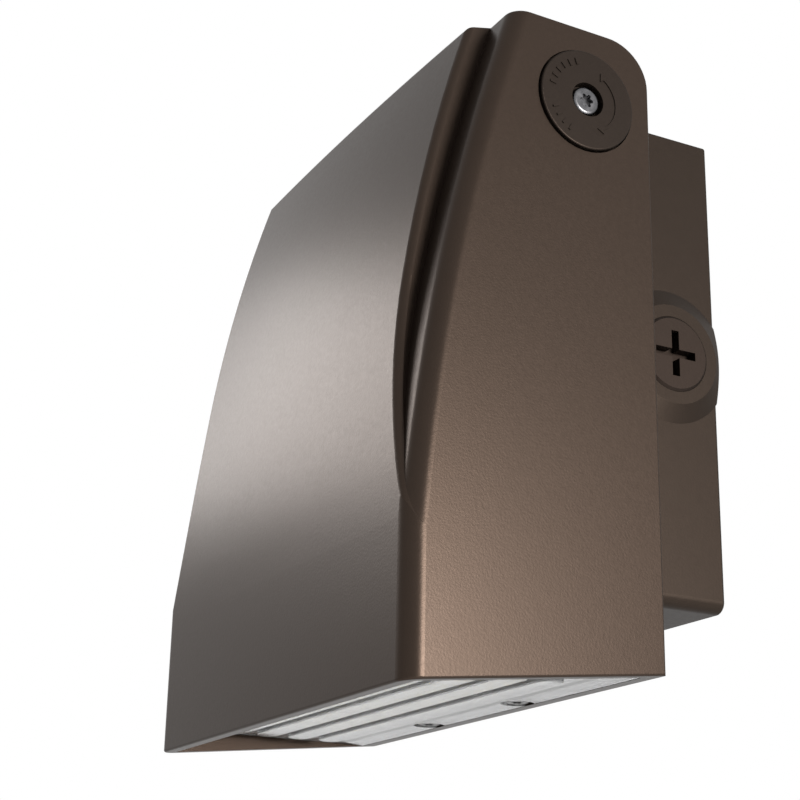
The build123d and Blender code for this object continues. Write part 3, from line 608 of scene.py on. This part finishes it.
@dataclass
class LampBoard(Unit):
    """White board over the lens: chips, screws, printed tracks and the solder at each chip."""

    finishes: dict[str, Finish] = field(
        default_factory=lambda: {
            "led_board": BOARD,
            "led_chips": PHOSPHOR,
            "board_screws": ZINC_STEEL,
        }
    )
    rows: int = 4
    chips_per_row: int = 18
    chip_width: float = 0.0028
    chip_depth: float = 0.0035
    track_width: float = 0.0015
    track_height: float = 0.00012
    track_slope: float = 0.0001
    link_reach: float = 0.0022
    solder_reach: float = 0.0007
    solder_height: float = 0.00045
    solder_toe: float = 0.00014
    solder_half: float = 0.0013
    solder_corner: float = 0.0003
    bury: float = 0.00005

    @cached_property
    def face(self) -> float:
        """Height of the board's lower face."""
        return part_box("led_board")[0].z

    def dress(self) -> None:
        """Give the nodes their finish, then add the tracks and the solder."""
        super().dress()
        self.add_piece("board_tracks", self.tracks(), TRACK_MASK, "board_white")
        self.add_piece("chip_solder", self.solder(), SOLDER, "zinc_steel")

    def chip_rows(self) -> list[list[tuple[float, float]]]:
        """Find the middle of every chip.

        Returns:
            One list of places for each row, from the left of the light to its right.
        """
        low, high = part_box("led_chips")
        first_x, last_x = low.x + self.chip_width / 2, high.x - self.chip_width / 2
        first_y, last_y = low.y + self.chip_depth / 2, high.y - self.chip_depth / 2
        step_x = (last_x - first_x) / (self.chips_per_row - 1)
        step_y = (last_y - first_y) / (self.rows - 1)
        return [
            [(first_x + i * step_x, first_y + row * step_y) for i in range(self.chips_per_row)]
            for row in range(self.rows)
        ]

    def block(self, shape: bmesh.types.BMesh, upper: list[Point], lower: list[Point]) -> None:
        """Add a closed block between two outlines of as many corners.

        Args:
            shape: mesh to add it to.
            upper: corners on the board, in order.
            lower: corners under them, in the same order.
        """
        top = [shape.verts.new(corner) for corner in upper]
        foot = [shape.verts.new(corner) for corner in lower]
        shape.faces.new(top)
        shape.faces.new(list(reversed(foot)))
        for i in range(len(top)):
            j = (i + 1) % len(top)
            shape.faces.new((top[j], top[i], foot[i], foot[j]))

    def strip(self, shape: bmesh.types.BMesh, x: Span, y: Span) -> None:
        """Add one length of track with sloping sides.

        Args:
            shape: mesh to add it to.
            x: its two ends across the light.
            y: its two ends from front to back.
        """
        base, low = self.face + self.bury, self.face - self.track_height
        upper = [(x[0], y[0], base), (x[1], y[0], base), (x[1], y[1], base), (x[0], y[1], base)]
        slope = self.track_slope
        lower = [
            (x[0] + slope, y[0] + slope, low),
            (x[1] - slope, y[0] + slope, low),
            (x[1] - slope, y[1] - slope, low),
            (x[0] + slope, y[1] - slope, low),
        ]
        self.block(shape, upper, lower)

    def tracks(self) -> bmesh.types.BMesh:
        """Build the printed tracks: one along each row, joined at alternate ends.

        Returns:
            The mesh of all tracks.
        """
        shape = bmesh.new()
        rows = self.chip_rows()
        half = self.track_width / 2
        gap = self.chip_width / 2 + self.solder_reach
        for row in rows:
            for (here, y), (there, _) in zip(row, row[1:]):
                self.strip(shape, (here + gap, there - gap), (y - half, y + half))
        for index, (row, following) in enumerate(zip(rows, rows[1:])):
            end = 1.0 if index % 2 == 0 else -1.0
            chip_x = row[-1][0] if end > 0 else row[0][0]
            inner, outer = chip_x + end * gap, chip_x + end * (gap + self.link_reach)
            near, far = sorted((inner, outer))
            low_y, high_y = row[0][1], following[0][1]
            self.strip(shape, (near, far), (low_y - half, low_y + half))
            self.strip(shape, (near, far), (high_y - half, high_y + half))
            edge = sorted((outer, outer - end * self.track_width))
            self.strip(shape, (edge[0], edge[1]), (low_y + half, high_y - half))
        return shape

    def solder(self) -> bmesh.types.BMesh:
        """Build the small slopes of solder at both ends of every chip.

        Returns:
            The mesh of all solder.
        """
        shape = bmesh.new()
        base = self.face + self.bury
        high, toe = self.face - self.solder_height, self.face - self.solder_toe
        half, corner = self.solder_half, self.solder_corner
        for x, y in (place for row in self.chip_rows() for place in row):
            for end in (-1.0, 1.0):
                inner = x + end * self.chip_width / 2
                outer = inner + end * self.solder_reach
                plan = [
                    (inner, y - half, high),
                    (outer - end * corner, y - half, toe),
                    (outer, y - half + corner, toe),
                    (outer, y + half - corner, toe),
                    (outer - end * corner, y + half, toe),
                    (inner, y + half, high),
                ]
                self.block(shape, [(px, py, base) for px, py, _ in plan], plan)
        return shape

    def add_piece(self, name: str, shape: bmesh.types.BMesh, finish: Finish, slot: str) -> None:
        """Turn a mesh into a piece that moves with the head.

        Args:
            name: the piece's name.
            shape: its mesh, used up here.
            finish: its finish.
            slot: not used.
        """
        bmesh.ops.recalc_face_normals(shape, faces=shape.faces)
        mesh = bpy.data.meshes.new(name)
        shape.to_mesh(mesh)
        shape.free()
        mesh.materials.append(finish.material())
        piece = bpy.data.objects.new(name, mesh)
        bpy.context.scene.collection.objects.link(piece)
        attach(piece, "head")
        LOG.info("%s: %s, %d faces", name, finish.name, len(mesh.polygons))


@dataclass
class LockPin(Unit):
    """Quarter-turn pin of one side: disc, cam and the screw that joins them."""

    side: Side = Side.RIGHT

    def __post_init__(self) -> None:
        """Name the nodes of this side."""
        self.finishes = {
            f"lock_disc_{self.side.value}": BRONZE_DISC,
            f"lock_cam_{self.side.value}": ZINC_STEEL,
            f"lock_screw_{self.side.value}": LOCK_STEEL,
        }


# ---------------------------------------------------------------- studio
@dataclass(frozen=True)
class SoftBox:
    """Rectangular studio lamp that faces a point."""

    name: str
    place: Point
    target: Point
    width: float
    height: float
    power: float
    colour: Colour = (1.0, 1.0, 1.0)

    def build(self) -> None:
        """Add the lamp to the scene."""
        data = bpy.data.lights.new(self.name, "AREA")
        data.shape = "RECTANGLE"
        data.size = self.width
        data.size_y = self.height
        data.energy = self.power
        data.color = self.colour
        lamp = bpy.data.objects.new(self.name, data)
        bpy.context.scene.collection.objects.link(lamp)
        lamp.location = self.place
        aim = Vector(self.target) - Vector(self.place)
        lamp.rotation_euler = aim.to_track_quat("-Z", "Y").to_euler()


@dataclass
class Studio:
    """White surroundings, a pale floor, soft boxes and the camera."""

    floor_level: float = -0.45
    floor_size: float = 12.0
    floor_glow: float = 0.7
    paper_level: float = 0.85
    paper_roughness: float = 0.9
    ambient: float = 0.12
    white_level: float = 1.0
    lens: float = 76.396
    sensor: float = 36.0
    clip_start: float = 0.01
    eye: Point = (0.384272, -0.257389, -0.149509)
    right: Point = (0.468853, 0.883065, 0.019347)
    up: Point = (0.280765, -0.169765, 0.944643)
    look: Point = (-0.837466, 0.437467, 0.327528)
    lamps: tuple[SoftBox, ...] = (
        SoftBox(
            "key_left",
            place=(-0.88, -0.52, 0.435),
            target=(0.0, -0.06, 0.0),
            width=0.45,
            height=0.32,
            power=4.1,
        ),
        SoftBox(
            "fill_right",
            place=(0.95, 0.18, 0.0),
            target=(0.07, -0.06, -0.02),
            width=0.3,
            height=0.3,
            power=14.0,
            colour=(1.0, 0.97, 0.94),
        ),
    )

    def build(self) -> None:
        """Put up the surroundings, floor, lamps and camera."""
        self.surroundings()
        self.floor()
        for lamp in self.lamps:
            lamp.build()
        self.camera()
        bpy.context.scene.view_settings.view_transform = "Standard"

    def white_for_views(
        self, tree: bpy.types.NodeTree, plain: bpy.types.NodeSocket, white: bpy.types.NodeSocket
    ) -> bpy.types.NodeSocket:
        """Show a white shader to the camera and in reflections, and a plain one to the rest.

        Args:
            tree: node tree to work in.
            plain: shader that lights the object.
            white: shader that is seen.

        Returns:
            The mixed shader.
        """
        path = tree.nodes.new("ShaderNodeLightPath")
        seen = path.outputs["Is Camera Ray"]
        for name in ("Is Glossy Ray", "Is Transmission Ray"):
            either = tree.nodes.new("ShaderNodeMath")
            either.operation = "MAXIMUM"
            tree.links.new(seen, either.inputs[0])
            tree.links.new(path.outputs[name], either.inputs[1])
            seen = either.outputs["Value"]
        mix = tree.nodes.new("ShaderNodeMixShader")
        tree.links.new(seen, mix.inputs["Fac"])
        tree.links.new(plain, mix.inputs[1])
        tree.links.new(white, mix.inputs[2])
        return mix.outputs["Shader"]

    def backdrop(self, tree: bpy.types.NodeTree, strength: float) -> bpy.types.NodeSocket:
        """Add a white background shader.

        Args:
            tree: node tree to work in.
            strength: how bright it is.

        Returns:
            The shader's socket.
        """
        node = tree.nodes.new("ShaderNodeBackground")
        node.inputs["Color"].default_value = (1.0, 1.0, 1.0, 1.0)
        node.inputs["Strength"].default_value = strength
        return node.outputs["Background"]

    def surroundings(self) -> None:
        """Make the world a plain grey light that looks white."""
        world = bpy.data.worlds.new("studio_white")
        bpy.context.scene.world = world
        world.use_nodes = True
        tree = world.node_tree
        tree.nodes.clear()
        plain = self.backdrop(tree, self.ambient)
        white = self.backdrop(tree, self.white_level)
        output = tree.nodes.new("ShaderNodeOutputWorld")
        seen = self.white_for_views(tree, plain, white)
        tree.links.new(seen, output.inputs["Surface"])

    def floor(self) -> None:
        """Lay a wide pale floor under the light."""
        half = self.floor_size / 2
        corners = [(-half, -half), (half, -half), (half, half), (-half, half)]
        mesh = bpy.data.meshes.new("studio_floor")
        mesh.from_pydata([(x, y, self.floor_level) for x, y in corners], [], [(0, 1, 2, 3)])
        floor = bpy.data.objects.new("studio_floor", mesh)
        bpy.context.scene.collection.objects.link(floor)
        sheet = NodeSheet("floor_paper")
        paper_colour = (self.paper_level, self.paper_level, self.paper_level)
        sheet.set(Base_Color=paper_colour, Roughness=self.paper_roughness)
        glow = sheet.tree.nodes.new("ShaderNodeEmission")
        glow.inputs["Strength"].default_value = self.floor_glow
        both = sheet.tree.nodes.new("ShaderNodeAddShader")
        paper = sheet.shader.outputs["BSDF"]
        sheet.tree.links.new(paper, both.inputs[0])
        sheet.tree.links.new(glow.outputs["Emission"], both.inputs[1])
        seen = self.white_for_views(sheet.tree, paper, both.outputs["Shader"])
        sheet.tree.links.new(seen, sheet.output.inputs["Surface"])
        mesh.materials.append(sheet.material)

    def camera(self) -> None:
        """Set the camera where the photograph was taken from."""
        data = bpy.data.cameras.new("view_camera")
        data.lens = self.lens
        data.sensor_width = self.sensor
        data.clip_start = self.clip_start
        camera = bpy.data.objects.new("view_camera", data)
        bpy.context.scene.collection.objects.link(camera)
        columns = [Vector(self.right), Vector(self.up), -Vector(self.look)]
        turn = Matrix(columns).transposed().to_4x4()
        camera.matrix_world = Matrix.Translation(Vector(self.eye)) @ turn
        bpy.context.scene.camera = camera


def main() -> None:
    """Dress every sub-assembly and build the studio."""
    logging.basicConfig(level=logging.INFO, format="%(name)s: %(message)s")
    units: list[Unit] = [
        BackBox(),
        HeadCasting(),
        LensUnit(),
        LampBoard(),
        DriverTray(),
        LockPin(side=Side.RIGHT),
        LockPin(side=Side.LEFT),
    ]
    for unit in units:
        unit.dress()
    Studio().build()


if __name__ == "__main__":
    main()
